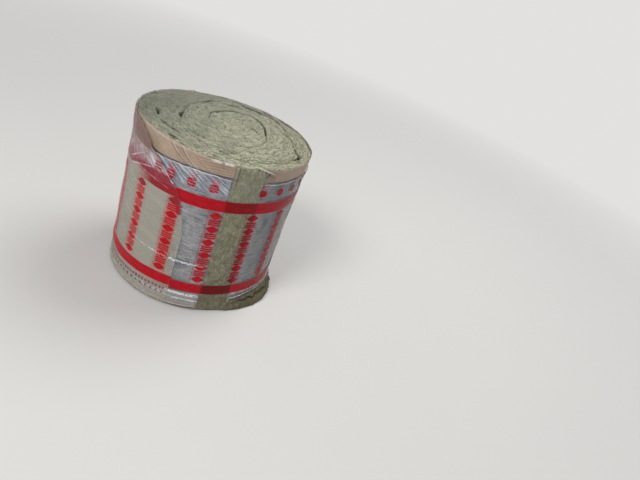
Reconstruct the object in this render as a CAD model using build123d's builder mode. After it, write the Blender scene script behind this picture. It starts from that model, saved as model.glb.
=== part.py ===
"""A roll of stone wool insulation standing on its end, in its printed clear film.

The mat is wound with its aluminium facing outwards. The cut outer end of the mat shows as a
bare strip down the side, between the two ends of the facing. A kraft paper flange runs round
each rim on top of the facing, and a sleeve of clear film holds the roll shut, with a second
layer of film lapped over its left half.

Millimetres, +Z up along the roll, origin at the centre of the lower end. Angles round the roll
are in degrees from the front (-Y) towards the right (+X).
"""
from build123d import *
from math import cos, exp, radians, sin
import os

# The mat
wool_diameter = 457.0
mat_width = 450.0
turn_pitch = 76.0
rim_bevel = 5.0

# The gap between the turns, as it shows in both ends of the roll
gap_mouth = 7.0
gap_root = 2.0
gap_depth = 14.0
gap_first_turn = 0.06
gap_dive = 11.0
gap_dive_turns = 0.08
gap_steps_per_turn = 8
eye_x = 30.0
eye_y = 60.0
eye_radius = 24.0

# The strip where the cut end of the mat is bare
strip_left = 11.5
strip_right = 32.0

# The facing and its two kraft flanges
facing_thickness = 0.5
facing_inset = 2.0
flange_thickness = 0.5
upper_flange_height = 36.0
lower_flange_height = 22.0

# The corner beside the strip where the facing and the film are drawn back from the lower end
corner_height = 40.0
corner_middle_angle = 66.0
corner_middle_height = 47.0
corner_end_angle = 108.0

# The film sleeve and its lap
film_thickness = 0.5
film_bottom = 6.0
film_over_flange = 5.0
lap_thickness = 0.5
lap_edge = 9.0
lap_far_edge = 150.0
lap_bend_drop = 218.0
lap_shoulder_angle = 25.0
lap_shoulder_drop = 85.0
lap_shoulder_slope = 0.8
lap_rim_angle = 60.0

wool_radius = wool_diameter / 2
facing_radius = wool_radius + facing_thickness
flange_radius = facing_radius + flange_thickness
film_radius = flange_radius + film_thickness
lap_radius = film_radius + lap_thickness
skin_top = mat_width - facing_inset
film_top = mat_width - upper_flange_height + film_over_flange
clear = 20.0


def ring_point(radius, angle):
    """A point at this radius and at this angle from the front."""
    return (radius * sin(radians(angle)), -radius * cos(radians(angle)))


def ring_sector(inner, outer, start, end):
    """The part of a flat ring from one angle to another."""
    with BuildSketch() as sector:
        with BuildLine():
            CenterArc((0, 0), inner, start - 90, end - start)
            CenterArc((0, 0), outer, start - 90, end - start)
            Line(ring_point(inner, start), ring_point(outer, start))
            Line(ring_point(inner, end), ring_point(outer, end))
        make_face()
    return sector.sketch


def gap_point(turns, offset):
    """A point so many turns in along the gap, and so far outside its middle line."""
    radius = wool_radius - gap_dive * (1 - exp(-turns / gap_dive_turns)) - turn_pitch * turns
    drift = 1 - radius / wool_radius
    x, y = ring_point(radius + offset, strip_left + 360 * turns)
    return (eye_x * drift + x, eye_y * drift + y)


gap_turns = (wool_radius - gap_dive - eye_radius) / turn_pitch - gap_first_turn
gap_steps = round(gap_turns * gap_steps_per_turn)
gap_stations = [gap_first_turn + gap_turns * step / gap_steps for step in range(gap_steps + 1)]


def gap_outline(width):
    """The gap between the turns as one long spiral face of this width."""
    with BuildSketch() as outline:
        with BuildLine():
            outer_edge = Spline(*[gap_point(turns, width / 2) for turns in gap_stations])
            inner_edge = Spline(*[gap_point(turns, -width / 2) for turns in gap_stations])
            Line(outer_edge @ 0, inner_edge @ 0)
            Line(outer_edge @ 1, inner_edge @ 1)
        make_face()
    return outline.sketch


# The wound mat, turned about its axis, with the turns showing in both ends
with BuildPart() as wool_roll:
    with BuildSketch(Plane.XZ) as wool_profile:
        Rectangle(wool_radius, mat_width, align=(Align.MIN, Align.MIN))
        chamfer(wool_profile.vertices().group_by(Axis.X)[-1], rim_bevel)
    revolve(axis=Axis.Z)
    with BuildSketch(Plane.XY.offset(rim_bevel)):
        add(ring_sector(wool_radius - rim_bevel, facing_radius, strip_left, strip_right))
    extrude(amount=mat_width - 2 * rim_bevel)
    for mouth_height, root_height in ((0, gap_depth), (mat_width, mat_width - gap_depth)):
        with BuildSketch(Plane.XY.offset(mouth_height)):
            add(gap_outline(gap_mouth))
        with BuildSketch(Plane.XY.offset(root_height)):
            add(gap_outline(gap_root))
        loft(ruled=True, mode=Mode.SUBTRACT)
wool_roll.part.label = "wool_roll"

# What the facing, its flange and the film leave bare at the lower right, as a block seen square on
corner_view = (strip_right + corner_end_angle) / 2
corner_out = Vector(*ring_point(1, corner_view), 0)
corner_along = Vector(*ring_point(1, corner_view + 90), 0)
corner_plane = Plane(origin=(0, 0, 0), x_dir=corner_along, z_dir=corner_out)
corner_start_u = flange_radius * sin(radians(strip_right - corner_view))
corner_middle_u = flange_radius * sin(radians(corner_middle_angle - corner_view))
corner_end_u = flange_radius * sin(radians(corner_end_angle - corner_view))
with BuildPart() as bare_corner:
    with BuildSketch(corner_plane):
        with BuildLine():
            ThreePointArc(
                (corner_start_u, corner_height),
                (corner_middle_u, corner_middle_height),
                (corner_end_u, 0),
            )
            Polyline(
                (corner_end_u, 0),
                (corner_end_u, -clear),
                (corner_start_u, -clear),
                (corner_start_u, corner_height),
            )
        make_face()
    extrude(amount=film_radius + clear)

# The aluminium facing, from the right edge of the bare strip all the way round to its left edge
with BuildPart() as foil_facing:
    with BuildSketch(Plane.XY.offset(facing_inset)):
        add(ring_sector(wool_radius, facing_radius, strip_right, 360 + strip_left))
    extrude(amount=mat_width - 2 * facing_inset)
    add(bare_corner.part, mode=Mode.SUBTRACT)
foil_facing.part.label = "foil_facing"

# The kraft flange round the upper rim
with BuildPart() as upper_flange:
    with BuildSketch(Plane.XY.offset(mat_width - upper_flange_height)):
        add(ring_sector(facing_radius, flange_radius, strip_right, 360 + strip_left))
    extrude(amount=upper_flange_height - facing_inset)
upper_flange.part.label = "upper_flange"

# The kraft flange round the lower rim, without the drawn back corner
with BuildPart() as lower_flange:
    with BuildSketch(Plane.XY.offset(facing_inset)):
        add(ring_sector(facing_radius, flange_radius, strip_right, 360 + strip_left))
    extrude(amount=lower_flange_height - facing_inset)
    add(bare_corner.part, mode=Mode.SUBTRACT)
lower_flange.part.label = "lower_flange"


def lap_edge_point(angle, drop):
    """A point of the lap's edge as seen from the front, at this angle to the left and so far down."""
    return (-lap_radius * sin(radians(angle)), mat_width - drop)


# What lies outside the lap's slanting upper edge, as seen from the front
with BuildPart() as lap_trim:
    with BuildSketch(Plane.XZ):
        with BuildLine():
            Spline(
                lap_edge_point(lap_edge, lap_bend_drop),
                lap_edge_point(lap_shoulder_angle, lap_shoulder_drop),
                tangents=((0, 1), (-1, lap_shoulder_slope)),
            )
            Polyline(
                lap_edge_point(lap_shoulder_angle, lap_shoulder_drop),
                lap_edge_point(lap_rim_angle, facing_inset),
                lap_edge_point(lap_rim_angle, -clear),
                (clear, mat_width + clear),
                (clear, mat_width - lap_bend_drop),
                lap_edge_point(lap_edge, lap_bend_drop),
            )
        make_face()
    extrude(amount=lap_radius + clear)

# The lap: a second layer of film over the left side, drawn up to the rim
with BuildPart() as film_lap:
    with BuildSketch(Plane.XY.offset(film_bottom)):
        add(ring_sector(film_radius, lap_radius, -lap_far_edge, -lap_edge))
    extrude(amount=skin_top - film_bottom)
    add(lap_trim.part, mode=Mode.SUBTRACT)

# The film sleeve, without the drawn back corner and with its lap
with BuildPart() as film_wrap:
    with BuildSketch(Plane.XY.offset(film_bottom)):
        Circle(film_radius)
        Circle(flange_radius, mode=Mode.SUBTRACT)
    extrude(amount=film_top - film_bottom)
    add(bare_corner.part, mode=Mode.SUBTRACT)
    add(film_lap.part)
film_wrap.part.label = "film_wrap"

os.makedirs("parts", exist_ok=True)
for piece in (wool_roll, foil_facing, upper_flange, lower_flange, film_wrap):
    export_step(piece.part, f"parts/{piece.part.label}.step")
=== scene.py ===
"""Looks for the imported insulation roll: wool, foil, kraft flanges and printed film.

Shapes are in metres, and the looks of paper and film in millimetres. Angles round the roll are
in degrees from the front (-Y) towards the right (+X).
"""
import math
from itertools import product

import bpy
import numpy as np
from mathutils import Matrix, Vector
from mathutils.kdtree import KDTree


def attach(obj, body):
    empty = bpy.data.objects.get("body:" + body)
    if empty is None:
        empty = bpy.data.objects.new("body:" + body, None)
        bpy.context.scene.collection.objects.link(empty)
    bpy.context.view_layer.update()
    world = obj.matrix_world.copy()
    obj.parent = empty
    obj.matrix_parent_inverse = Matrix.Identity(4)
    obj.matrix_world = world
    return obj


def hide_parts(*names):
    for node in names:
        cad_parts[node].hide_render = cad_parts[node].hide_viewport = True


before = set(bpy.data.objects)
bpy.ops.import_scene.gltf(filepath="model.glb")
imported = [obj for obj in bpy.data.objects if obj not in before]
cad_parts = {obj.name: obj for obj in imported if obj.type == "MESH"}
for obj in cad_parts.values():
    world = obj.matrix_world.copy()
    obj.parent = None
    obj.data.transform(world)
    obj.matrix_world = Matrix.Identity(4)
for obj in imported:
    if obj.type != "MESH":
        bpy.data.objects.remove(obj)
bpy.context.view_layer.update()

# Main sizes, the same as in the CAD source
R = 0.230
WOOL_RADIUS = 0.2285
HEIGHT = 0.450
EYE = (0.030, 0.060)
STRIP_LEFT, STRIP_RIGHT = 11.5, 32.0
CORNER_END = 108
FLANGE_UP, FLANGE_LOW = 0.414, 0.022
LAP_EDGE, LAP_FAR = -9.0, -150.0

# Sizes that only the looks have
SKIN, PAPER = 0.0002, 0.0003
LOW_RIM = 0.004
ARC_MM = math.pi / 180 * R * 1000


# Noise and small curves

def lattice(ix, iy, iz, seed):
    """A repeatable number from 0 to 1 for each whole-number point."""
    h = (ix * 374761393 + iy * 668265263 + iz * 1442695041 + seed * 974634777) & 0xFFFFFFFF
    h = ((h ^ (h >> 13)) * 1274126177) & 0xFFFFFFFF
    return ((h ^ (h >> 16)) & 0xFFFFFF) / 0xFFFFFF


def noise(x, y, z, seed):
    """Smooth noise from -1 to 1 with bumps one unit apart."""
    x, y, z = np.broadcast_arrays(*(np.asarray(v, float) for v in (x, y, z)))
    cells = [np.floor(v).astype(np.int64) for v in (x, y, z)]
    part = [v - c for v, c in zip((x, y, z), cells)]
    part = [p * p * (3 - 2 * p) for p in part]
    total = 0
    for corner in product((0, 1), repeat=3):
        weight = 1
        for d, p in zip(corner, part):
            weight = weight * (p if d else 1 - p)
        total = total + weight * lattice(*(c + d for c, d in zip(cells, corner)), seed)
    return 2 * total - 1


def fbm(x, y, z, seed, octaves=3):
    """Several sizes of noise added up."""
    total, size = 0, 1.0
    for octave in range(octaves):
        k = 2.03 ** octave
        total = total + size * noise(x * k, y * k, z * k, seed + octave)
        size *= 0.5
    return total


def ramp(value, low, high):
    """0 below low, 1 above high, and a smooth rise between."""
    t = np.clip((value - low) / (high - low), 0, 1)
    return t * t * (3 - 2 * t)


def turned(angle):
    """The same angle between -180 and 180 degrees."""
    return (np.asarray(angle) + 180) % 360 - 180


def hill(angle, centre, width):
    """A smooth hill over one angle."""
    return np.exp(-((turned(angle - centre) / width) ** 2))


def unit_point(angle):
    """The point at this angle on a circle of radius 1."""
    a = np.radians(angle)
    return np.sin(a), -np.cos(a)


def around(angle, radius, z):
    """Points at these angles, distances from the axis and heights."""
    x, y = unit_point(angle)
    return np.stack(np.broadcast_arrays(radius * x, radius * y, z), axis=-1)


def arc_length(angle):
    """The distance round the roll over this angle."""
    return angle * math.pi / 180 * R


def graded(start, count, middle, more, end):
    """Steps from start to end, so many up to the middle and so many after it."""
    return np.concatenate([np.linspace(start, middle, count, endpoint=False), np.linspace(middle, end, more)])


def round_angles(start, end, step):
    """Angles from start to end, about this step apart."""
    return np.linspace(start, end, int(round((end - start) / step)) + 1)


# The surfaces that all the pieces follow

def foot_spread(angle):
    """How far the mat splays at its foot, at the bare corner."""
    angles = [26, 32, 38, 46, 55, 62, 72, 79, 85, 92, 100, 108, 116]
    spread = [0, 6, 11, 15, 21, 24, 25, 24, 22, 17, 9, 3, 0]
    return np.interp(turned(angle), angles, np.array(spread) / 1000)


def mat_radius(angle, z):
    """The outside of the mat, swollen behind the right and splayed at its corner."""
    x, y = unit_point(angle)
    swelling = 0.0095 * ramp(z, 0.12, 0.44) * hill(angle, 125, 45)
    soft = 0.0013 * fbm(x * 2.6, y * 2.6, z / 0.11, 11)
    return WOOL_RADIUS + swelling + foot_spread(angle) * (1 - ramp(z, 0.012, 0.050)) + soft


def bare_height(angle):
    """How high the bare corner at the lower right reaches."""
    a = turned(angle)
    height = np.interp(a, [32, 46, 60, 75, 90, 100, 108], [40, 44.5, 47, 46.5, 36, 20, 2]) / 1000
    return np.where((a >= STRIP_RIGHT) & (a <= CORNER_END), height, 0.0)


# The lap's free upper edge: angle, and drop from the upper end in millimetres
LAP_TOP = [
    (-150, 2.5), (-61, 2.5), (-59.5, 4), (-53, 10), (-48, 18), (-44, 28), (-41, 38), (-36, 48),
    (-33, 56), (-30, 67), (-27, 80), (-24, 89), (-21, 98), (-18, 112), (-15.5, 130), (-13.3, 154),
    (-11.4, 180), (-10, 204), (-9, 226),
]


def lap_top(angle):
    """The height of the lap's free upper edge, a little wavy."""
    angles, drops = zip(*LAP_TOP)
    wave = 0.0012 * noise(np.asarray(angle) / 3.1, 0, 0, 41)
    return HEIGHT - np.interp(angle, angles, np.array(drops) / 1000) + wave


def film_top(angle):
    """The height of the sleeve's upper edge."""
    x, y = unit_point(angle)
    return (0.4125 + 0.0016 * fbm(x * 9, y * 9, 0, 42, 3) - 0.006 * hill(angle, 22, 9)
            - 0.0075 * hill(angle, -38, 19))


def film_bottom(angle):
    """The height of the sleeve's lower edge, which rises over the bare corner."""
    x, y = unit_point(angle)
    usual = 0.0075 + 0.0012 * fbm(x * 8, y * 8, 0, 43, 2)
    rise = ramp(turned(angle), 29.0, 33.5) * (turned(angle) < CORNER_END + 4)
    return np.maximum(usual, (bare_height(np.maximum(turned(angle), 32.01)) - 0.001) * rise)


def sleeve_lift(angle, z):
    """How far the wrinkled sleeve stands off the mat."""
    x, y = unit_point(angle)
    fine = np.maximum(0, fbm(x * 5, y * 5, z / 0.017, 51, 2))
    broad = np.maximum(0, fbm(x * 3, y * 3, z / 0.030 + x * 1.5, 52, 2))
    ruffle = 0.4 + np.abs(fbm(x * 24, y * 24, z / 0.05, 53, 2))
    near_top = np.exp(-np.clip(film_top(angle) - z, 0, 1) / 0.011)
    near_foot = np.exp(-np.clip(z - film_bottom(angle), 0, 1) / 0.007)
    return 0.0019 + 0.0009 * fine + 0.0010 * broad + near_top * 0.0024 * ruffle + near_foot * 0.0012 * ruffle


# Where the lap's folds spread from
FOLD_ANGLE, FOLD_Z = -22.0, 0.342

# The folds near it, raised and with painted highlights: angle and height in millimetres of both
# ends, then half the width
LAP_FOLDS = [
    (-62, 343, -53, 366, 1.3), (-53, 366, -44, 390, 1.0), (-43.5, 389, -35, 374, 1.6),
    (-46, 378, -37, 366, 0.9), (-59, 331, -46, 353, 1.2), (-46, 353, -37, 364, 1.0),
    (-33, 396, -29, 376, 0.9), (-29, 376, -22, 352, 1.2), (-24, 333, -34, 342, 1.0),
    (-34, 342, -51, 343, 0.8),
]


def lap_folds(angle, z):
    """How close a point of the lap is to one of its folds with painted highlights, from 0 to 1."""
    close = 0
    for a0, z0, a1, z1, width in LAP_FOLDS:
        along, up = (a1 - a0) * ARC_MM, z1 - z0
        x, y = (angle - a0) * ARC_MM, z * 1000 - z0
        t = np.clip((x * along + y * up) / (along ** 2 + up ** 2), 0, 1)
        away = np.hypot(x - t * along, y - t * up)
        close = np.maximum(close, np.clip(1.3 - away / (width * 1.5), 0, 1))
    return close


def lap_creases(angle, z):
    """The height of the soft creases that spread from the lap's shoulder."""
    along, up = arc_length(angle - FOLD_ANGLE), z - FOLD_Z
    reach, bearing = np.hypot(along, up), np.arctan2(up, -along)
    zone = ramp(reach, 0.004, 0.03) * (1 - ramp(reach, 0.11, 0.19)) * ramp(bearing, -0.5, 0.0)
    zone = zone * (1 - ramp(bearing, 1.7, 2.2))
    folds = np.maximum(0, noise(bearing * 6.5, reach / 0.08, 0, 61)) ** 1.2
    small = np.maximum(0, noise(bearing * 15, reach / 0.05, 3, 62))
    return zone * (0.0050 * folds + 0.0018 * small)


def lap_lift(angle, z):
    """How far the lap stands off the mat: over the sleeve, creased and folded."""
    x, y = unit_point(angle)
    fine = np.maximum(0, fbm(x * 5, y * 5, z / 0.012, 63, 3))
    near_side = np.exp(-np.clip(arc_length(LAP_EDGE - angle), 0, 1) / 0.006)
    near_top = np.exp(-np.clip(lap_top(angle) - z, 0, 1) / 0.007)
    near_top = near_top * (1 + 0.8 * noise(x * 18, y * 18, z / 0.03, 64))
    return (sleeve_lift(angle, np.minimum(z, film_top(angle))) + 0.0009 + lap_creases(angle, z)
            + 0.0006 * fine + 0.0004 * near_side + 0.0004 * near_top + 0.0014 * lap_folds(angle, z))


# Meshes

def build(name, points, faces, floats=None, vectors=None, smooth=True):
    """A mesh object, with named numbers or vectors on its points."""
    mesh = bpy.data.meshes.new(name)
    mesh.from_pydata(points, [], faces)
    mesh.update()
    for kind, field, table in (("FLOAT", "value", floats), ("FLOAT_VECTOR", "vector", vectors)):
        for key, values in (table or {}).items():
            data = mesh.attributes.new(key, kind, "POINT").data
            data.foreach_set(field, np.asarray(values, np.float32).ravel())
    if smooth:
        mesh.polygons.foreach_set("use_smooth", np.ones(len(mesh.polygons), bool))
    made = bpy.data.objects.new(name, mesh)
    bpy.context.scene.collection.objects.link(made)
    return made


def grid_faces(rows, columns, start, closed, flip=False):
    """The faces of a grid of points."""
    faces = []
    for row in range(rows - 1):
        for column in range(columns if closed else columns - 1):
            after = (column + 1) % columns
            a, b = start + row * columns + column, start + row * columns + after
            c, d = b + columns, a + columns
            faces.append((a, d, c, b) if flip else (a, b, c, d))
    return faces


def shell(name, outer, inner, closed, floats, vectors):
    """A closed skin between two grids of points, rows upwards and columns round the roll."""
    rows, columns = outer.shape[:2]
    count = rows * columns
    faces = grid_faces(rows, columns, 0, closed) + grid_faces(rows, columns, count, closed, flip=True)
    last = (rows - 1) * columns
    for column in range(columns if closed else columns - 1):
        after = (column + 1) % columns
        faces.append((after, column, count + column, count + after))
        faces.append((last + column, last + after, count + last + after, count + last + column))
    if not closed:
        for row in range(rows - 1):
            a, b = row * columns, (row + 1) * columns
            faces.append((a, b, count + b, count + a))
            a, b = a + columns - 1, b + columns - 1
            faces.append((b, a, count + a, count + b))
    points = np.concatenate([outer.reshape(-1, 3), inner.reshape(-1, 3)])
    double = lambda table: {k: np.concatenate([v.reshape(count, -1)] * 2) for k, v in table.items()}
    return build(name, points, faces, double(floats), double(vectors))


def skin_shell(name, angles, levels, bottom, top, lift, thickness, closed=False, **extra):
    """A thin skin round the mat. lift(angle, z) is how far its inside stands off the mat.

    levels run from 0 at the bottom to 1 at the top, and each extra is a number worked out for
    every point.
    """
    angle = np.broadcast_to(angles, (len(levels), len(angles)))
    z = bottom(angle) + levels[:, None] * (top(angle) - bottom(angle))
    radius = mat_radius(angle, z) + lift(angle, z)
    print_place = np.stack([turned(angle), z * 1000, np.zeros_like(z)], axis=-1)
    floats = {key: make(angle, z) for key, make in extra.items()}
    return shell(name, around(angle, radius + thickness, z), around(angle, radius, z), closed,
                 floats, {"print": print_place})


# The turns of the mat as they show in its ends: x and y in thousandths of the roll's radius,
# then the half width and the depth of the gap there in millimetres
TURNS = [
    (200, -985, 1.2, 3), (250, -875, 1.2, 3), (384, -762, 1.2, 3), (550, -620, 1.2, 3),
    (700, -476, 1.4, 4), (813, -358, 2.2, 9), (870, -243, 3.6, 16), (838, -135, 2.2, 10),
    (798, 51, 1.3, 5), (767, 230, 1.2, 4), (720, 396, 1.2, 4), (660, 560, 1.4, 5),
    (575, 680, 3.6, 7), (435, 768, 5.0, 8), (230, 831, 5.0, 8), (90, 887, 4.0, 6),
    (-50, 864, 1.6, 4), (-205, 767, 2.0, 6), (-332, 614, 2.4, 8), (-448, 410, 1.3, 4),
    (-517, 180, 1.2, 3), (-525, 20, 1.8, 6), (-537, -77, 3.4, 15), (-520, -160, 1.6, 5),
    (-481, -307, 1.2, 3), (-332, -470, 1.1, 3), (-130, -540, 1.1, 3), (100, -500, 1.2, 4),
    (290, -400, 1.2, 4), (410, -250, 1.1, 3), (465, -60, 1.1, 3), (455, 130, 1.5, 6),
    (432, 300, 2.6, 12), (370, 450, 3.2, 13), (290, 535, 4.2, 13), (180, 553, 4.8, 14),
    (30, 540, 4.6, 14), (-110, 455, 3.8, 12), (-200, 350, 2.6, 9), (-235, 190, 1.4, 5),
    (-220, 30, 1.1, 3), (-120, -90, 1.1, 3), (30, -130, 1.1, 3), (160, -70, 1.1, 3),
    (240, 30, 1.1, 3),
]

# Short cracks beside the turns, in the same numbers
CRACKS = [
    [(60, 290, 1.6, 2), (150, 350, 1.8, 4), (260, 410, 1.6, 3)],
    [(50, 215, 1.8, 2), (150, 200, 2.0, 5), (270, 150, 2.2, 7), (380, 60, 2.0, 5)],
    [(-150, 700, 1.8, 7), (-50, 745, 2.4, 9), (60, 760, 1.8, 7)],
    [(-30, -790, 1.2, 4), (280, -815, 1.6, 6), (480, -740, 1.4, 5), (660, -590, 1.2, 4)],
    [(-550, -700, 2.0, 8), (-500, -745, 3.2, 12), (-450, -780, 2.0, 8)],
    [(-800, -100, 2.0, 6), (-760, -190, 2.6, 9), (-740, -300, 1.6, 5)],
    [(-310, 400, 2.0, 9), (-300, 360, 1.6, 7)],
    [(-360, 575, 2.4, 10), (-340, 590, 2.0, 8)],
    [(-680, -420, 1.6, 5), (-560, -520, 2.0, 7), (-400, -640, 1.4, 4)],
]


def smooth_path(rows, step=0.0012):
    """A smooth line through such rows, in metres, with a row about every step."""
    rows = np.array(rows, float) / 1000
    rows[:, :2] *= R
    padded = np.concatenate([[2 * rows[0] - rows[1]], rows, [2 * rows[-1] - rows[-2]]])
    found = []
    for a, b, c, d in zip(padded, padded[1:], padded[2:], padded[3:]):
        count = max(2, int(np.hypot(*(c - b)[:2]) / step))
        t = np.linspace(0, 1, count, endpoint=False)[:, None]
        found.append(0.5 * (2 * b + (c - a) * t + (2 * a - 5 * b + 4 * c - d) * t ** 2
                            + (3 * b - a - 3 * c + d) * t ** 3))
    return np.concatenate(found)


def gap_depth_and_shade(x, y, paths):
    """How deep the gaps are at each point, and how much painted shade darkens them."""
    rows = np.concatenate(paths)
    tree = KDTree(len(rows))
    for number, row in enumerate(rows):
        tree.insert((row[0], row[1], 0), number)
    tree.balance()
    depth, near = np.zeros(x.size), np.zeros(x.size)
    wander = 0.0009 * noise(x / 0.014, y / 0.014, 0, 71).ravel()
    for number, (px, py) in enumerate(zip(x.ravel(), y.ravel())):
        _, found, distance = tree.find((px, py, 0))
        width, deep = rows[found][2:]
        away = abs(distance + wander[number])
        t = max(0.0, 1 - away / (width * 1.9))
        depth[number] = deep * t * t * (3 - 2 * t)
        near[number] = max(0.0, 1 - away / (width * 2.2)) * min(1.0, deep / 0.008)
    return depth.reshape(x.shape), near.reshape(x.shape)


def strands(across, x, y, seed):
    """The relief of the mat's layers: short wavy strands side by side, in clumps."""
    across = across + 0.0040 * fbm(x / 0.026, y / 0.026, 0, seed + 20, 2)
    clumps = fbm(across / 0.0105, x / 0.030, y / 0.030, seed, 2)
    thin = fbm(across / 0.0042, x / 0.018, y / 0.018, seed + 5, 2)
    return 0.75 * clumps + 0.70 * thin


def end_points(angles, share, radius, rim):
    """x, y and reach on rays from the eye of one end to its rim."""
    x, y = unit_point(angles)
    reach = share[:, None] * (radius - rim)[None, :]
    return EYE[0] * (1 - share)[:, None] + reach * x, EYE[1] * (1 - share)[:, None] + reach * y, reach


# Each part of the mat gives its points, and for each point its place across the layers, how much
# painted shade its gap gets, and the lie of its strands

def upper_end(angles, share, rim, paths):
    """The upper end of the mat, with lumps, strands, pits and open gaps."""
    x, y, reach = end_points(angles, share, mat_radius(angles, HEIGHT), rim)
    depth, near = gap_depth_and_shade(x, y, paths)
    lumps = 0.0026 * fbm(x / 0.055, y / 0.055, 0, 72, 2) + 0.0013 * fbm(x / 0.016, y / 0.016, 0, 73, 2)
    lay = strands(reach, x, y, 74)
    pits = np.clip(noise(x / 0.0070, y / 0.0070, 0, 76) - 0.50, 0, 1) * 0.014
    rough = 0.0016 * (1 - 0.4 * ramp(reach, 0.2, 0.23))
    high = HEIGHT - 0.001 + lumps + rough * lay - pits - depth
    high = high - 0.004 * ramp(reach, 0.212, 0.227) * hill(angles, 150, 60)
    high = high - 0.003 * ramp(reach, 0.214, 0.227) * hill(angles, -48, 26)
    # painted shade: through lay the pits and the hollows between strands are darkened in the colour
    lay = lay - pits * 160
    return np.stack([x, y, high], axis=-1), np.stack([reach, near, 0.5 + 0.28 * lay], axis=-1)


def rim_row(angles, radius, z):
    """One row of plain wool round a rim."""
    return around(angles, radius, z)[None], np.stack([radius, 0 * radius, 0.5 + 0 * radius], axis=-1)[None]


def corner_layers(a, arc, z, height, corner):
    """The bare corner: how far inside it a point is, its two seams and its torn layers."""
    inside = corner * ramp(height - z, 0.004, 0.012)
    first = 0.58 * height + 0.0030 * noise(arc / 0.017, 0, 0, 86)
    second = 0.26 * height + 0.0030 * noise(arc / 0.023, 0, 0, 87)
    depth = 0.75 + 0.25 * noise(arc / 0.012, 0, 0, 88)
    seam = np.exp(-((z - first) / 0.0026) ** 2) * ramp(a, 36, 50) * depth
    seam = (seam + 0.6 * np.exp(-((z - second) / 0.0024) ** 2) * ramp(a, 60, 72)) * inside
    strata = noise((height - z) / 0.0052 + 0.8 * noise(arc / 0.022, 0, 0, 89), arc / 0.045, 0, 90) * inside
    return inside, seam, strata


def mat_side(angles, edge_height, rim):
    """The side of the mat, grooved along the strip and felted at the bare corner."""
    down = graded(0, 62, 0.86, 30, 1)[:, None]
    z = (1 - down) * (edge_height - rim)[None, :] + down * LOW_RIM
    angle = np.broadcast_to(angles, z.shape)
    a = turned(angle)
    arc = np.radians(a) * R
    strip = ramp(a, STRIP_LEFT - 0.4, STRIP_LEFT + 0.5) * (1 - ramp(a, STRIP_RIGHT - 0.5, STRIP_RIGHT + 0.4))
    corner = ramp(bare_height(angle) - z, 0.0, 0.004) * (a >= STRIP_RIGHT)
    bare = np.maximum(strip, corner)
    grooves = noise(arc / 0.0050, z / 0.022, 0, 81) + 0.6 * noise(arc / 0.0025, z / 0.012, 0, 82)
    felt = np.clip(fbm(arc / 0.010, z / 0.014, 0, 83, 3), -2, 1)
    deep_line = np.exp(-((a - 13.6 - 0.5 * noise(z / 0.03, 0, 0, 84)) / 0.35) ** 2) * ramp(z, 0.34, 0.42)
    inside, seam, strata = corner_layers(a, arc, z, bare_height(angle), corner)
    relief = 0.0004 * grooves * strip + 0.0006 * felt * bare - 0.002 * deep_line * strip
    relief = relief + 0.0022 * felt * inside + 0.0012 * strata - 0.0080 * seam
    radius = mat_radius(angle, z) + 0.0008 * strip + relief - 0.0004 * (1 - bare)
    lay = 0.5 + 0.16 * grooves * strip + 0.34 * strata
    # the second value is painted shade in the deep groove and the torn seams
    return around(angle, radius, z), np.stack([arc + 1.0, 0.5 * deep_line * strip + 0.9 * seam, lay], axis=-1)


def lower_end(angles, share, paths):
    """The lower end of the mat, pressed flat."""
    x, y, reach = end_points(angles, share, mat_radius(angles, 0.0), LOW_RIM)
    depth, near = gap_depth_and_shade(x, y, paths)
    low = 0.0003 + 0.0006 * (1 + np.clip(strands(reach, x, y, 91), -1, 1)) + 0.6 * depth
    return np.stack([x, y, low], axis=-1), np.stack([reach, near, 0.5 + 0 * near], axis=-1)


def join_wool(parts, columns):
    """One closed mesh from the parts of the mat."""
    points, marks = (np.concatenate([part[i].reshape(-1, 3) for part in parts]) for i in (0, 1))
    count = len(points)
    faces = grid_faces(count // columns, columns, 0, True, flip=True)
    last = count - columns
    for column in range(columns):
        after = (column + 1) % columns
        faces += [(count, column, after), (count + 1, last + after, last + column)]
    middle = [(*EYE, float(ring[:, 2].mean())) for ring in (points[:columns], points[last:])]
    points, marks = np.concatenate([points, middle]), np.concatenate([marks, [[0, 0, 0.5]] * 2])
    return build("wool_mat", points, faces, dict(zip(("across", "gap", "lay"), marks.T)))


def make_wool():
    """The wound mat: both ends with their turns, the rims and the side."""
    angles = graded(9, 64, 35, 263, 369)[:-1]
    share = np.concatenate([np.linspace(0.012, 0.90, 112), np.linspace(0.908, 1, 18)])
    paths = [smooth_path(rows) for rows in [TURNS, *CRACKS]]
    rim = 0.0025 + 0.0035 * hill(angles, 130, 42) + 0.0015 * hill(angles, -100, 50)
    parts = [upper_end(angles, share, rim, paths)]
    edge_height = parts[0][0][-1, :, 2]
    for turn in np.radians([18, 36, 54, 72]):
        radius = mat_radius(angles, HEIGHT) - rim + rim * np.sin(turn)
        parts.append(rim_row(angles, radius, edge_height - rim * (1 - np.cos(turn))))
    parts.append(mat_side(angles, edge_height, rim))
    for turn in np.radians([60, 25]):
        radius = mat_radius(angles, 0.0) - LOW_RIM + LOW_RIM * np.sin(turn)
        parts.append(rim_row(angles, radius, LOW_RIM - LOW_RIM * np.cos(turn)))
    parts.append(lower_end(angles, share[::-1][::3], paths[:1]))
    return join_wool(parts, len(angles))


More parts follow.
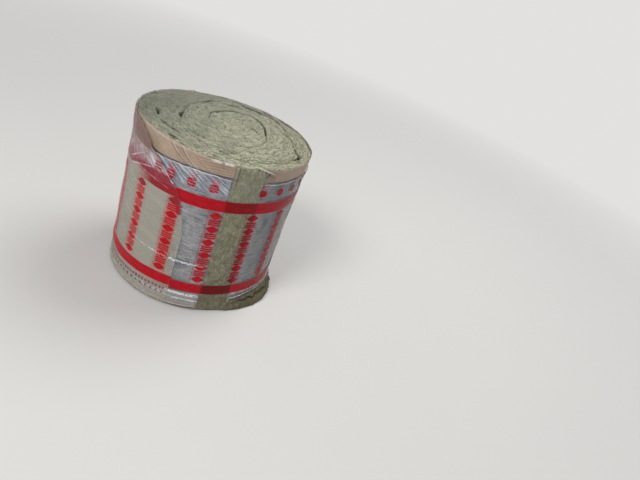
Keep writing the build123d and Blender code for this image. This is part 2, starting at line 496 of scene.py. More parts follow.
def make_tuft(rng, inner, surface):
    """One tuft on the wool: a thin bowed spindle, three points to each step."""
    t = np.linspace(0, 1, TUFT_STEPS)
    belly = 1 - (2 * t - 1) ** 2
    angle = rng.uniform(-62, 100)
    inset = rng.uniform(0.02, 0.12) if inner else rng.uniform(0.0, 0.018)
    heading = np.radians(angle + rng.normal(0, 28))
    length = rng.uniform(0.009, 0.024)
    along = (t - 0.5) * length
    bow = rng.uniform(-0.3, 0.3) * length * belly
    start = around(angle, WOOL_RADIUS - inset, 0.0)
    x = start[0] + math.cos(heading) * along - math.sin(heading) * bow
    y = start[1] + math.sin(heading) * along + math.cos(heading) * bow
    inward = np.minimum(1, (WOOL_RADIUS + 0.0005) / np.hypot(x, y))
    x, y = x * inward, y * inward
    under = np.argmin((surface[:, 0] - x[:, None]) ** 2 + (surface[:, 1] - y[:, None]) ** 2, axis=1)
    z = surface[under, 2].mean() - 0.0010 + rng.uniform(0.0014, 0.0036) * belly
    half = rng.uniform(0.00035, 0.0007) * (1 - 0.8 * (2 * t - 1) ** 2)
    side = np.array([-math.sin(heading), math.cos(heading), 0.0]) * half[:, None]
    up = np.array([0.0, 0.0, 1.0]) * half[:, None]
    path = np.stack([x, y, z], axis=-1)
    return np.stack([path - side, path + side, path + 1.5 * up], axis=1).reshape(-1, 3)


TUFTS, TUFT_STEPS = 150, 8


def make_tufts(wool):
    """Loose tufts on the front of the wool's upper end, most of them near its rim."""
    rng = np.random.default_rng(23)
    surface = np.array([vertex.co for vertex in wool.data.vertices])
    surface = surface[surface[:, 2] > HEIGHT - 0.03]
    points, faces = [], []
    for number in range(TUFTS):
        first, last = len(points), len(points) + 3 * (TUFT_STEPS - 1)
        points.extend(make_tuft(rng, number % 3 == 0, surface))
        faces += grid_faces(TUFT_STEPS, 3, first, True)
        faces += [(first + 2, first + 1, first), (last, last + 1, last + 2)]
    return build("wool_tufts", points, faces, smooth=False)


# The slanting creases of the upper flange: the angle at the rim, its growth per millimetre of
# drop and per square millimetre, the height in millimetres and how strong the crease's pale line,
# worn and painted as a highlight, and the painted shade beside it are
CREASES = [
    (-28.0, 0.15, 0.0060, 1.6, 0.9), (-21.3, 0.20, 0.0025, 1.2, 0.7), (-14.5, 0.37, 0.0, 0.9, 0.45),
    (-43.0, 0.22, 0.0030, 0.7, 0.3), (51.0, -0.20, 0.0, 0.7, 0.25), (93.0, 0.25, 0.0, 0.8, 0.3),
    (151.0, -0.30, 0.0, 0.9, 0.3), (-134.0, 0.26, 0.0, 0.8, 0.3), (-96.0, -0.22, 0.0, 0.7, 0.3),
]


def crease_line(drop, start, slope, bend):
    """The angle of a crease this many millimetres under the rim."""
    return start + slope * drop + bend * drop * drop


def kraft_lift(angle, z):
    """How far the creased flanges stand off the mat, with a corner lifted beside the strip."""
    a = turned(angle)
    x, y = unit_point(a)
    upper = z > 0.3
    lift = 0.0008 + 0.0007 * np.maximum(0, fbm(x * 6, y * 6, z / 0.025, 101, 2))
    for start, slope, bend, size, _ in CREASES:
        away = a - crease_line((HEIGHT - z) * 1000, start, slope, bend)
        lift = lift + 0.001 * size * np.exp(-np.where(away < 0, -away / 0.7, away / 2.6)) * upper
    corner = np.clip(1 - (a - STRIP_RIGHT) / 9.0, 0, 1) * (a >= STRIP_RIGHT) * (a < 60)
    lift = lift + 0.0085 * corner ** 1.6 * ramp(z, 0.418, 0.448) * upper
    return lift + 0.0013 * (hill(a, 140, 36) * upper) * ramp(z, 0.415, 0.448)


def facing_bottom(angle):
    """The height of the lower edge of the facing and of the lower flange."""
    return np.maximum(0.002, bare_height(angle))


def make_foil():
    """The aluminium facing, finely wrinkled."""
    def lift(angle, z):
        x, y = unit_point(angle)
        return 0.0001 + 0.0003 * np.clip(fbm(x * 4, y * 4, z / 0.010, 111, 3), -0.4, 0.8) + 0.00012

    angles = round_angles(STRIP_RIGHT, 360 + STRIP_LEFT, 1.1)
    return skin_shell("foil_skin", angles, np.linspace(0, 1, 76), facing_bottom,
                      lambda a: 0.4475 + 0 * a, lift, SKIN)


def make_upper_flange():
    """The kraft flange round the upper rim."""
    def top(angle):
        x, y = unit_point(angle)
        return (0.4478 + 0.0009 * fbm(x * 14, y * 14, 0, 112, 3) + 0.0015 * hill(angle, 140, 40)
                + 0.0050 * hill(angle, -32, 30))

    def bottom(angle):
        return FLANGE_UP - 0.0085 * hill(angle, -38, 20)

    angles = round_angles(STRIP_RIGHT, 360 + STRIP_LEFT, 0.7)
    return skin_shell("kraft_upper", angles, np.linspace(0, 1, 22), bottom, top, kraft_lift, PAPER)


def make_lower_flange():
    """The kraft flange round the lower rim."""
    angles = round_angles(99.5, 360 + STRIP_LEFT, 0.9)
    return skin_shell("kraft_lower", angles, np.linspace(0, 1, 9), facing_bottom,
                      lambda a: FLANGE_LOW + 0 * a, kraft_lift, PAPER)


def make_sleeve():
    """The film sleeve, with how close each point is to its edges."""
    def edge(angle, z):
        return np.exp(-np.minimum(film_top(angle) - z, z - film_bottom(angle)) / 0.0035)

    angles = np.linspace(-180, 180, 562, endpoint=False)
    return skin_shell("film_sleeve", angles, graded(0, 66, 0.90, 18, 1), film_bottom, film_top, sleeve_lift,
                      SKIN, True, edge=edge)


def make_lap():
    """The lap, with how close each point is to its free edges and its folds."""
    def edge(angle, z):
        side = np.minimum(arc_length(LAP_EDGE - angle), arc_length(angle - LAP_FAR))
        return np.exp(-np.clip(np.minimum(side, (lap_top(angle) - z) * 0.8), 0, 1) / 0.003)

    angles = np.concatenate([round_angles(LAP_FAR, -62, 1.0)[:-1], round_angles(-62, -26, 0.5)[:-1],
                             round_angles(-26, LAP_EDGE, 0.28)])
    return skin_shell("film_lap", angles, graded(0, 80, 0.68, 96, 1),
                      lambda a: 0.0065 + 0.001 * noise(a / 4, 0, 0, 113), lap_top, lap_lift, SKIN,
                      edge=edge, folds=lap_folds)


# The torn corner of the flange: angle, height and distance off the wool along it, and its width
SLIVER = [(21.5, 0.4545, 0.0042), (26.2, 0.4512, 0.0062), (32.0, 0.4450, 0.0098), (37.2, 0.4362, 0.0040)]
SLIVER_WIDTH = [0.0008, 0.0030, 0.0034, 0.0004]


def make_sliver():
    """The corner of the upper flange, torn loose and folded down beside the strip."""
    steps = np.linspace(0, 3, 25)
    angle, z, off = (np.interp(steps, range(4), column) for column in np.array(SLIVER).T)
    half = np.interp(steps, range(4), SLIVER_WIDTH) / 2
    middle = around(angle, WOOL_RADIUS + off, z)
    across = np.array([0.25, -0.25, 0.93]) * half[:, None]
    out = around(angle, 0.00035 + 0 * angle, 0 * z)
    edges = [middle - across - out, middle + across - out, middle + across + out, middle - across + out]
    points = np.stack(edges, axis=1).reshape(-1, 3)
    faces = grid_faces(len(steps), 4, 0, True)
    last = 4 * (len(steps) - 1)
    faces += [(3, 2, 1, 0), (last, last + 1, last + 2, last + 3)]
    print_place = np.repeat(np.stack([angle, z * 1000, 0 * z], axis=-1), 4, axis=0)
    return build("kraft_sliver", points, faces, None, {"print": print_place}, smooth=False)


# Shader arithmetic

def linear(*screen):
    """A screen colour from 0 to 255 as the linear colour that shaders use."""
    return tuple(c / 255 / 12.92 if c <= 10 else ((c / 255 + 0.055) / 1.055) ** 2.4 for c in screen) + (1,)


PALE = linear(226, 225, 223)


class Number:
    """A number in a node tree. Arithmetic on it adds Math nodes."""

    def __init__(self, tree, value):
        self.tree, self.value = tree, value

    def make(self, kind, *others, clamp=False):
        node = self.tree.nodes.new("ShaderNodeMath")
        node.operation, node.use_clamp = kind, clamp
        for socket, item in zip(node.inputs, (self, *others)):
            plug(self.tree, item, socket)
        return Number(self.tree, node.outputs[0])

    def __rsub__(self, other): return Number(self.tree, other).make("SUBTRACT", self)
    def clip(self): return self.make("ADD", 0.0, clamp=True)
    def wrap(self, low, high): return self.make("WRAP", high, low)
    def above(self, edge, soft): return ((self - edge) / soft).make("ADD", 0.5, clamp=True)
    def below(self, edge, soft): return ((edge - self) / soft).make("ADD", 0.5, clamp=True)
    def within(self, low, high, soft): return self.above(low, soft).least(self.below(high, soft))


for method, kind in {
    "__add__": "ADD", "__radd__": "ADD", "__sub__": "SUBTRACT", "__mul__": "MULTIPLY", "__rmul__": "MULTIPLY",
    "__truediv__": "DIVIDE", "size": "ABSOLUTE", "least": "MINIMUM", "most": "MAXIMUM", "sine": "SINE",
    "floor": "FLOOR", "power": "POWER",
}.items():
    setattr(Number, method, lambda self, *others, kind=kind: self.make(kind, *others))


def plug(tree, item, socket):
    """Puts a number, a colour or another node's output into a socket."""
    value = item.value if isinstance(item, Number) else item
    if isinstance(value, bpy.types.NodeSocket):
        tree.links.new(value, socket)
    else:
        socket.default_value = value


class Look:
    """A material, with short names for the nodes that feed its shader."""

    def __init__(self, name):
        self.material = bpy.data.materials.new(name)
        self.material.use_nodes = True
        self.tree = self.material.node_tree
        self.tree.nodes.clear()
        self.shader, self.out = self.node("BsdfPrincipled"), self.node("OutputMaterial")
        self.tree.links.new(self.shader.outputs[0], self.out.inputs[0])

    def node(self, kind):
        return self.tree.nodes.new("ShaderNode" + kind)

    def number(self, value):
        return Number(self.tree, value)

    def attribute(self, name):
        node = self.node("Attribute")
        node.attribute_name = name
        return node.outputs

    def value_of(self, name):
        return self.number(self.attribute(name)["Fac"])

    def split(self, vector):
        node = self.node("SeparateXYZ")
        self.tree.links.new(vector, node.inputs[0])
        return [self.number(out) for out in node.outputs]

    def place(self):
        """The point on the object, in metres."""
        return self.node("TexCoord").outputs["Object"]

    def noise(self, vector, scale, detail, rough):
        node = self.node("TexNoise")
        self.tree.links.new(vector, node.inputs["Vector"])
        for key, value in (("Scale", scale), ("Detail", detail), ("Roughness", rough)):
            node.inputs[key].default_value = value
        return self.number(node.outputs["Fac"])

    def cloud(self, scale, detail, rough):
        """Even noise, with so many bumps to the metre."""
        return self.noise(self.place(), scale, detail, rough)

    def grain(self, x, y, z, detail, rough):
        """Noise with bumps one unit apart in x, y and z."""
        node = self.node("CombineXYZ")
        for item, socket in zip((x, y, z), node.inputs):
            plug(self.tree, item, socket)
        return self.noise(node.outputs[0], 1, detail, rough)

    def mix(self, share, first, second):
        node = self.node("Mix")
        node.data_type = "RGBA"
        for item, number in ((share, 0), (first, 6), (second, 7)):
            plug(self.tree, item, node.inputs[number])
        return node.outputs[2]

    def blend(self, share, dark, pale):
        """Starts the look's colour, between two screen colours."""
        self.colour = self.mix(share, linear(*dark), linear(*pale))

    def coat(self, share, *screen):
        """Lays a screen colour over the look's colour so far."""
        self.colour = self.mix(share, self.colour, linear(*screen))

    def finish(self, bump=None, **values):
        """The material, with its colour, these values and a bump: height, distance and strength."""
        if bump:
            node = self.node("Bump")
            for key, value in zip(("Height", "Distance", "Strength"), bump):
                plug(self.tree, value, node.inputs[key])
            values["Normal"] = node.outputs[0]
        for key, value in {"Base_Color": self.colour, **values}.items():
            plug(self.tree, value, self.shader.inputs[key.replace("_", " ")])
        return self.material


# Looks of the wool, the foil and the paper

def tint_and_shade_wool(look, x, y, z, side):
    """The broad differences in colour over the wool's upper end and down its strip, painted light and shade
    among them.
    """
    low = lambda: z.below(0.436, 0.012)
    look.coat(look.cloud(17, 3, 0.5).above(0.54, 0.30) * 0.40, 142, 140, 130)
    # painted light and shade: the upper end is lighter and warmer on its front and right, and darker on its
    # left and back
    look.coat(side * 0.16, 168, 164, 130)
    look.coat((1 - side) * 0.72, 94, 98, 90)
    middle = ((x - 0.02) * (x - 0.02) + (y - 0.01) * (y - 0.01)).power(0.5)
    look.coat(middle.below(0.10, 0.12) * 0.22, 205, 203, 180)
    # painted shade: darker at the right
    look.coat(x.above(0.15, 0.10) * 0.24, 110, 106, 84)
    # painted shade: the side is darker than the upper end, more so lower down
    look.coat(low() * (0.38 - z * 0.45), 98, 94, 68)
    look.coat(low() * 0.16, 150, 144, 112)
    look.coat(y.above(0.10, 0.14) * 0.16, 198, 194, 176)
    look.coat(low() * look.cloud(62, 3, 0.6).above(0.52, 0.22) * 0.5, 104, 96, 68)
    # darker towards the foot
    look.coat(z.below(0.19, 0.14) * 0.12, 84, 76, 56)
    look.coat(z.below(0.055, 0.04) * 0.24, 84, 76, 56)
    # painted shade in the lower right corner
    look.coat(z.below(0.060, 0.02) * x.above(0.145, 0.03) * 0.22, 72, 60, 36)
    look.coat(z.within(0.33, 0.436, 0.06) * 0.38, 158, 160, 140)


def wool_look():
    """Stone wool: strands side by side, pale fibres on an olive grey, with painted shade in the gaps and
    painted light and shade over the upper end and down the side.
    """
    look = Look("stone_wool")
    x, y, z = look.split(look.place())
    across = look.value_of("across") + (look.cloud(34, 2, 0.5) - 0.5) * 0.012
    long = look.grain(across * 230, x * 46, y * 46 + z * 105, 4, 0.65)
    thin = look.grain(across * 430, x * 110, y * 110 + z * 240, 4, 0.65)
    flock = look.cloud(215, 4, 0.7)
    side = (x * 1.0 - y * 0.55).above(0.0, 0.40)
    # painted light: the strands get more contrast on the lit front and right, and less down the side
    lit_strand_contrast = (side * 0.4 + 0.65) * (1 - z.below(0.438, 0.01) * 0.35)
    # lay brings painted shade of the pits and hollows into the tone
    tone = (long - 0.5) * 2.5 + (thin - 0.5) * 2.5 + (flock - 0.5) * 2.3 + (look.value_of("lay") - 0.5) * 1.0
    look.blend((tone * lit_strand_contrast + 0.50).above(0.5, 1.0), (84, 86, 72), (218, 217, 192))
    tint_and_shade_wool(look, x, y, z, side)
    # painted shade: the gaps, the deep groove and the torn seams are darkened in the colour
    look.coat((look.value_of("gap") * 1.15).clip(), 40, 42, 32)
    height = long * 0.7 + thin * 0.45 + flock * 0.35
    return look.finish((height, 0.0034, 1.0), Roughness=0.95, Specular_IOR_Level=0.12)


def tuft_look():
    """Pale loose wool."""
    look = Look("wool_tufts")
    look.blend(look.cloud(90, 2, 0.5).above(0.5, 0.3), (186, 184, 150), (226, 224, 196))
    return look.finish(Roughness=0.9, Specular_IOR_Level=0.15)


def foil_look():
    """Aluminium facing: dull silver with fine crossways wrinkles and small dents, with a painted bluish
    reflection and painted shade.
    """
    look = Look("aluminium_foil")
    x, y, z = look.split(look.place())
    crossways = look.grain(x * 22, y * 22, z * 240, 4, 0.6)
    dents, panes, specks = look.cloud(42, 4, 0.55), look.cloud(15, 3, 0.5), look.cloud(900, 2, 0.5)
    tone = (crossways - 0.5) * 1.5 + (dents - 0.5) * 1.7 + (panes - 0.5) * 1.1 + (specks - 0.5) * 0.5 + 0.5
    look.blend(tone.above(0.5, 1.1), (88, 89, 92), (188, 186, 184))
    # painted reflection: a bluish band near the top, on the front and left
    look.coat(z.within(0.352, 0.418, 0.02) * x.below(0.06, 0.06) * 0.40, 124, 130, 150)
    # painted shade: the foil is darker and mottled on the right
    dull = ((panes - 0.5) * 1.6 + (dents - 0.5) * 1.6 + 0.44).clip()
    look.coat(x.above(0.135, 0.04) * dull, 80, 80, 78)
    look.coat(x.above(0.205, 0.03) * 0.45, 172, 168, 150)
    height = crossways * 0.9 + dents * 1.2 + panes * 1.2
    return look.finish((height, 0.0045, 0.9), Metallic=0.7, Roughness=dents * 0.3 + 0.28)


def kraft_wear_and_light(look, angle, upper, drop):
    """Worn pale creases with painted highlights and painted shade, the worn and lit rim of the upper flange,
    a painted glint and the painted shadow of the folded corner.
    """
    worn = look.cloud(90, 3, 0.6)
    for start, slope, bend, _, pale in CREASES:
        away = angle - crease_line(drop, start, slope, bend)
        # painted shade beside each crease
        look.coat(away.within(-2.2, -0.2, 0.8) * upper * (pale * 0.4), 112, 94, 80)
        # pale crease line: worn paper with a painted highlight
        look.coat(away.within(-0.15, 0.5, 0.4) * upper * worn.above(0.40, 0.3) * pale, 222, 206, 190)
    # pale rim: worn paper with a painted highlight along its fold
    look.coat(drop.below(3.2, 2.4) * upper * worn.above(0.45, 0.5) * 0.65, 214, 200, 184)
    glint = drop.below(6.5, 3.5).least(angle.within(-3, 11, 4)) * worn.above(0.50, 0.12)
    look.coat(glint * 0.85, 240, 240, 236)
    # painted shadow of the folded corner on the flange under it
    flap_shadow_offset = (angle - STRIP_RIGHT) * 2.3 + 8 - drop
    corner = upper * angle.within(20, 37.5, 0.8)
    look.coat(corner * flap_shadow_offset.within(-7, -1, 3) * 0.45, 104, 88, 76)


def kraft_look():
    """Kraft paper: warm grey brown with fibres, faint lines along it that are painted light and shade of its
    wrinkles, painted light on the right, and pale creases, worn and painted as highlights.
    """
    look = Look("kraft_paper")
    angle, z, _ = look.split(look.attribute("print")["Vector"])
    arc = angle * ARC_MM
    fibre = look.grain(arc * 0.10, z * 1.4, 0.0, 4, 0.65)
    cross = look.grain(arc * 1.1, z * 0.12, 5.0, 3, 0.6)
    cloud, speck = look.cloud(24, 3, 0.5), look.cloud(520, 2, 0.5)
    # painted light and shade: light and dark bands along the wrinkles near the strip
    wrinkle = ((z + cloud * 7 - angle * 0.2) * 0.95).sine() * angle.within(-13, 11, 7)
    tone = (fibre - 0.5) * 1.0 + (cross - 0.5) * 0.7 + (cloud - 0.5) * 0.9 + (speck - 0.5) * 0.4 + 0.5
    look.blend((tone + wrinkle * 0.16).above(0.5, 0.9), (142, 120, 102), (198, 175, 155))
    # painted light: the flange is paler on the right
    look.coat(angle.above(36, 8) * 0.16, 216, 198, 182)
    kraft_wear_and_light(look, angle, z.above(300, 1), HEIGHT * 1000 - z)
    height = fibre * 0.5 + cross * 0.5 + cloud * 0.8 + wrinkle * 0.2
    return look.finish((height, 0.0016, 0.7), Roughness=0.66, Specular_IOR_Level=0.35)


def sliver_look():
    """The folded kraft corner, coloured pale as painted light where it catches the light, with its fibres."""
    look = Look("kraft_fold_lit")
    fibre = look.cloud(420, 4, 0.6)
    look.blend(fibre.above(0.5, 0.7), (226, 216, 198), (246, 240, 226))
    return look.finish((fibre, 0.0008, 0.6), Roughness=0.7, Specular_IOR_Level=0.3)


# The print on the film: foot, top and softness of the bands, foot and top of the columns and
# height of a token in them, and height and spacing in degrees of the ring of blocks
LOWER_BAND, UPPER_BAND = (58, 88.5, 0.7), (318.5, 350.5, 0.7)
COLUMN_FOOT, COLUMN_TOP, TOKEN = 95, 315, 20
BLOCK_LEVEL, BLOCK_SPACING = 378, 13.5


def columns(angle, v, centre, spacing, backing=0.0):
    """Upright rows of plain lozenges and bars, each with a thin broken line beside it."""
    u = (angle - centre).wrap(-spacing / 2, spacing / 2) * ARC_MM
    t = (v - COLUMN_FOOT) / TOKEN
    inside = v.within(COLUMN_FOOT, COLUMN_TOP, 0.5)
    w = (t - t.floor()) * TOKEN - TOKEN / 2
    odd = (t.floor() * 0.5).wrap(0, 1).above(0.25, 0.1)
    lozenge = (u.size() / 18 + w.size() / 12.5).below(1, 0.06)
    slots = (w.size() - 2.9).size().above(0.7, 0.5)
    bars = u.size().below(14.5, 0.5).least(w.size().below(8.4, 0.5)).least(slots)
    token = (odd * bars).most((1 - odd) * lozenge).least(inside)
    line = (u + 19).size().below(1.5, 0.7).least((v * 0.16).wrap(0, 1).within(0.2, 0.8, 0.2)).least(inside)
    band = u.size().below(15.5, 2.0).least(inside) * backing
    return token.most(line * 0.9).most(band)


def marks(angle, v):
    """A ring of rounded blocks, on the left cut into three bars, with fine dashes over them."""
    right = angle.above(22, 0.1)
    centre = 2 + right * 31
    u = (angle - centre).wrap(-BLOCK_SPACING / 2, BLOCK_SPACING / 2) * ARC_MM
    w = v - BLOCK_LEVEL
    reach = (u.size().power(3) + w.size().power(3)).power(1 / 3)
    slots = (w.size() - 3.6).size().above(1.0, 0.5)
    block = reach.below(11.4 - right * 1.4, 0.6).least(slots.most(right))
    rows = (w * 0.24).wrap(0, 1).within(0.12, 0.80, 0.12)
    strokes = (u * 0.20 + w * 0.05).wrap(0, 1).within(0.08, 0.76, 0.10)
    dashes = w.within(14, 26.5, 0.6).least(u.size().below(11, 0.5)).least(strokes).least(rows) * 0.85
    shown = angle.within(-176, 176, 0.2).least(1 - angle.within(9, 26, 0.2))
    return block.most(dashes).least(shown)


def foot_rows(v, arc):
    """Two rows of plain strokes under the lower band, the lower row spaced wider."""
    first = (v - 44).size().below(4.1, 0.6).least((arc * 0.095).wrap(0, 1).within(0.08, 0.75, 0.06))
    second = (v - 30).size().below(3.9, 0.6).least((arc * 0.062 + 0.4).wrap(0, 1).within(0.08, 0.45, 0.05))
    return first.most(second)


def ridges(grain, sharpness):
    """Thin lines along the middle value of a noise."""
    return (1 - (grain - 0.5).size() * sharpness).clip()


class Film(Look):
    """Clear film, with ink, creases, stains and painted highlights that make it less so.

    v is the height on the print, which runs a little askew, and arc the distance round the roll.
    """

    def __init__(self, name):
        super().__init__(name)
        self.angle, self.z, _ = self.split(self.attribute("print")["Vector"])
        self.v = self.z - ((self.angle - 10) * (math.pi / 180)).sine() * 8.0
        self.arc = self.angle * ARC_MM

    def streaks(self):
        """The painted highlight along the broken fold that sags across the front."""
        angle, z, arc = self.angle, self.z, self.arc
        self.jitter = (self.grain(arc * 0.11, 4.0, z * 0.02, 3, 0.7) - 0.5) * 9
        zigzag = (self.grain(arc * 0.22, 14.0, z * 0.02, 2, 0.6) - 0.5) * 13
        self.gaps = self.grain(arc * 0.08, 9.0, z * 0.01, 2, 0.5).above(0.38, 0.12)
        sag = (angle + 8) * (angle + 8) * 0.0030 + 148
        breadth = angle.above(-26, 8) * 1.3 + 1.0 + (self.wear - 0.5) * 4.0
        away = (z - sag + self.jitter * 1.4 + zigzag).size() - breadth
        return away.below(0, 1.2).least(angle.within(-44, 9, 2)) * self.gaps

    def coats(self, ink, pink, gleam, painted_rim_shade):
        """The colour: film, print, painted highlights and the painted shade along the rim over each other."""
        red = self.mix(self.wear.above(0.5, 0.6), linear(164, 10, 24), linear(208, 20, 38))
        self.colour, red = self.tints(pink, red)
        self.colour = self.mix(ink, self.colour, red)
        self.coat(gleam, 238, 240, 248)
        self.coat(painted_rim_shade.above(0.1, 0.2), 70, 62, 74)

    def make(self):
        """The whole material."""
        angle, z, arc = self.angle, self.z, self.arc
        ink, pink = self.ink(), self.pink()
        self.wear = wear = self.grain(arc * 0.05, z * 0.15, 2.0, 4, 0.6)
        shade = self.grain(arc * 0.012, z * 0.05, 7.0, 3, 0.55)
        crease = self.grain(arc * 0.018, z * 0.30, 3.0, 4, 0.62)
        slanted = self.grain(arc * 0.066 + z * 0.096, arc * 0.0046 - z * 0.0032, 6.0, 3, 0.55)
        # painted highlight and reflection: the band under the film's top gets slanted highlight ridges and
        # bluish milky spots
        glare_band = z.within(364, 412, 8).least(angle.within(-42, 12, 6))
        streaks = self.streaks()
        edge = self.value_of("edge")
        # painted highlight along the film's edge
        rim = edge.within(0.28, 0.74, 0.12) * wear.above(0.40, 0.25)
        bare = 1 - angle.within(STRIP_LEFT - 1, STRIP_RIGHT, 1.0) * 0.9
        gleam = ((ridges(slanted, 15) * glare_band * 0.76).most(rim * self.RIM_GLEAM) * bare).most(streaks)
        gleam = (gleam * (1 - ink * 0.75)).clip()
        # painted shade: a dark line at the very edge
        painted_rim_shade = edge.above(0.80, 0.1) * bare * self.RIM_SHADE
        haze = self.haze() + (shade - 0.5) * 0.16
        glare_patch = self.grain(arc * 0.03, z * 0.06, 5.0, 3, 0.5).above(0.5, 0.2) * glare_band * 0.12
        # crease ridges made milky: partly whitened film, partly painted highlight
        milky = ridges(crease, 24) * wear.above(0.52, 0.3) * self.RIDGE_HAZE
        milky = (milky.most(glare_patch).most(haze) * bare).clip()
        print_cover = ink * (0.95 + (wear - 0.5) * 0.30)
        alpha = 1 - (1 - milky) * (1 - print_cover) * (1 - pink) * (1 - gleam * 0.85) * (1 - painted_rim_shade)
        self.coats(ink, pink, gleam, painted_rim_shade)
        height = crease * 0.8 + wear * 0.25 + gleam * 0.6 + slanted * glare_band
        return self.finish((height, 0.0026, 0.6), Alpha=alpha.clip(), Roughness=ink * 0.15 + 0.2,
                           Specular_IOR_Level=0.15)


class SleeveFilm(Film):
    """The sleeve: clear over the foil, with part of its print hidden by the lap."""

    RIM_GLEAM, RIM_SHADE, RIDGE_HAZE = 0.9, 0.55, 0.34

    def ink(self):
        angle, v = self.angle, self.v
        under = angle.within(LAP_FAR, LAP_EDGE, 0.2)
        shown = 1 - angle.above(-72, 22).least(angle.below(-21, 4))
        ink = (v.within(*UPPER_BAND) * shown).most((v + under * 4).within(*LOWER_BAND)).most(marks(angle, v))
        outside = angle.above(36, 0.4).most(angle.below(-150.5, 0.4))
        ink = ink.most(foot_rows(v - 9, self.arc).least(outside) * 0.8)
        return ink.most(columns(angle, v, 7.5, 24) * (1 - under)).most(columns(angle, v, -17.2, 25.7) * under)

    def pink(self):
        return self.number(0.0)

    def streaks(self):
        """Also the painted highlights on the patchy folds along the foot and over the bare corner."""
        streaks, angle, z = super().streaks(), self.angle, self.z
        foot = angle.within(-22, 11.3, 0.6)
        patchy = self.grain(self.arc * 0.06, 12.0, z * 0.12, 3, 0.6)
        for level, half, scarce in ((47.5, 4.0, 0.40), (31, 2.6, 0.42)):
            fold = (z - level + self.jitter * 0.7).size().below(half, 1.4).least(foot)
            streaks = streaks.most(fold * patchy.above(scarce, 0.14))
        hem = angle.within(34, 84, 3) * patchy.above(0.44, 0.2)
        hem = hem.most(angle.within(10, 34, 4) * patchy.above(0.50, 0.2) * z.below(54, 4) * 3)
        return streaks.most((z - 57 + self.jitter * 0.8 - angle * 0.02).size().below(2.4, 2.4) * hem)

    def haze(self):
        return self.angle.within(-22, 11.3, 3) * self.z.below(52, 8) * 0.30 + 0.06

    def tints(self, pink, red):
        angle, z = self.angle, self.z
        # the bluish white of the film above the foot is partly painted reflection
        film = self.mix(z.below(56, 8), linear(208, 214, 228), linear(196, 195, 190))
        strip_under = angle.within(STRIP_LEFT, STRIP_RIGHT, 1.5) * (z.below(110, 8) * 0.32 + 0.62)
        # the red is darker over the strip, where the wool lies under it, and darker to the right as painted
        # shade
        darker = strip_under.most(angle.above(34, 20) * 0.25 + angle.above(58, 20) * 0.3)
        red = self.mix(darker, red, linear(108, 2, 4))
        return film, self.mix(z.below(60, 4) * 0.7, red, linear(112, 62, 62))


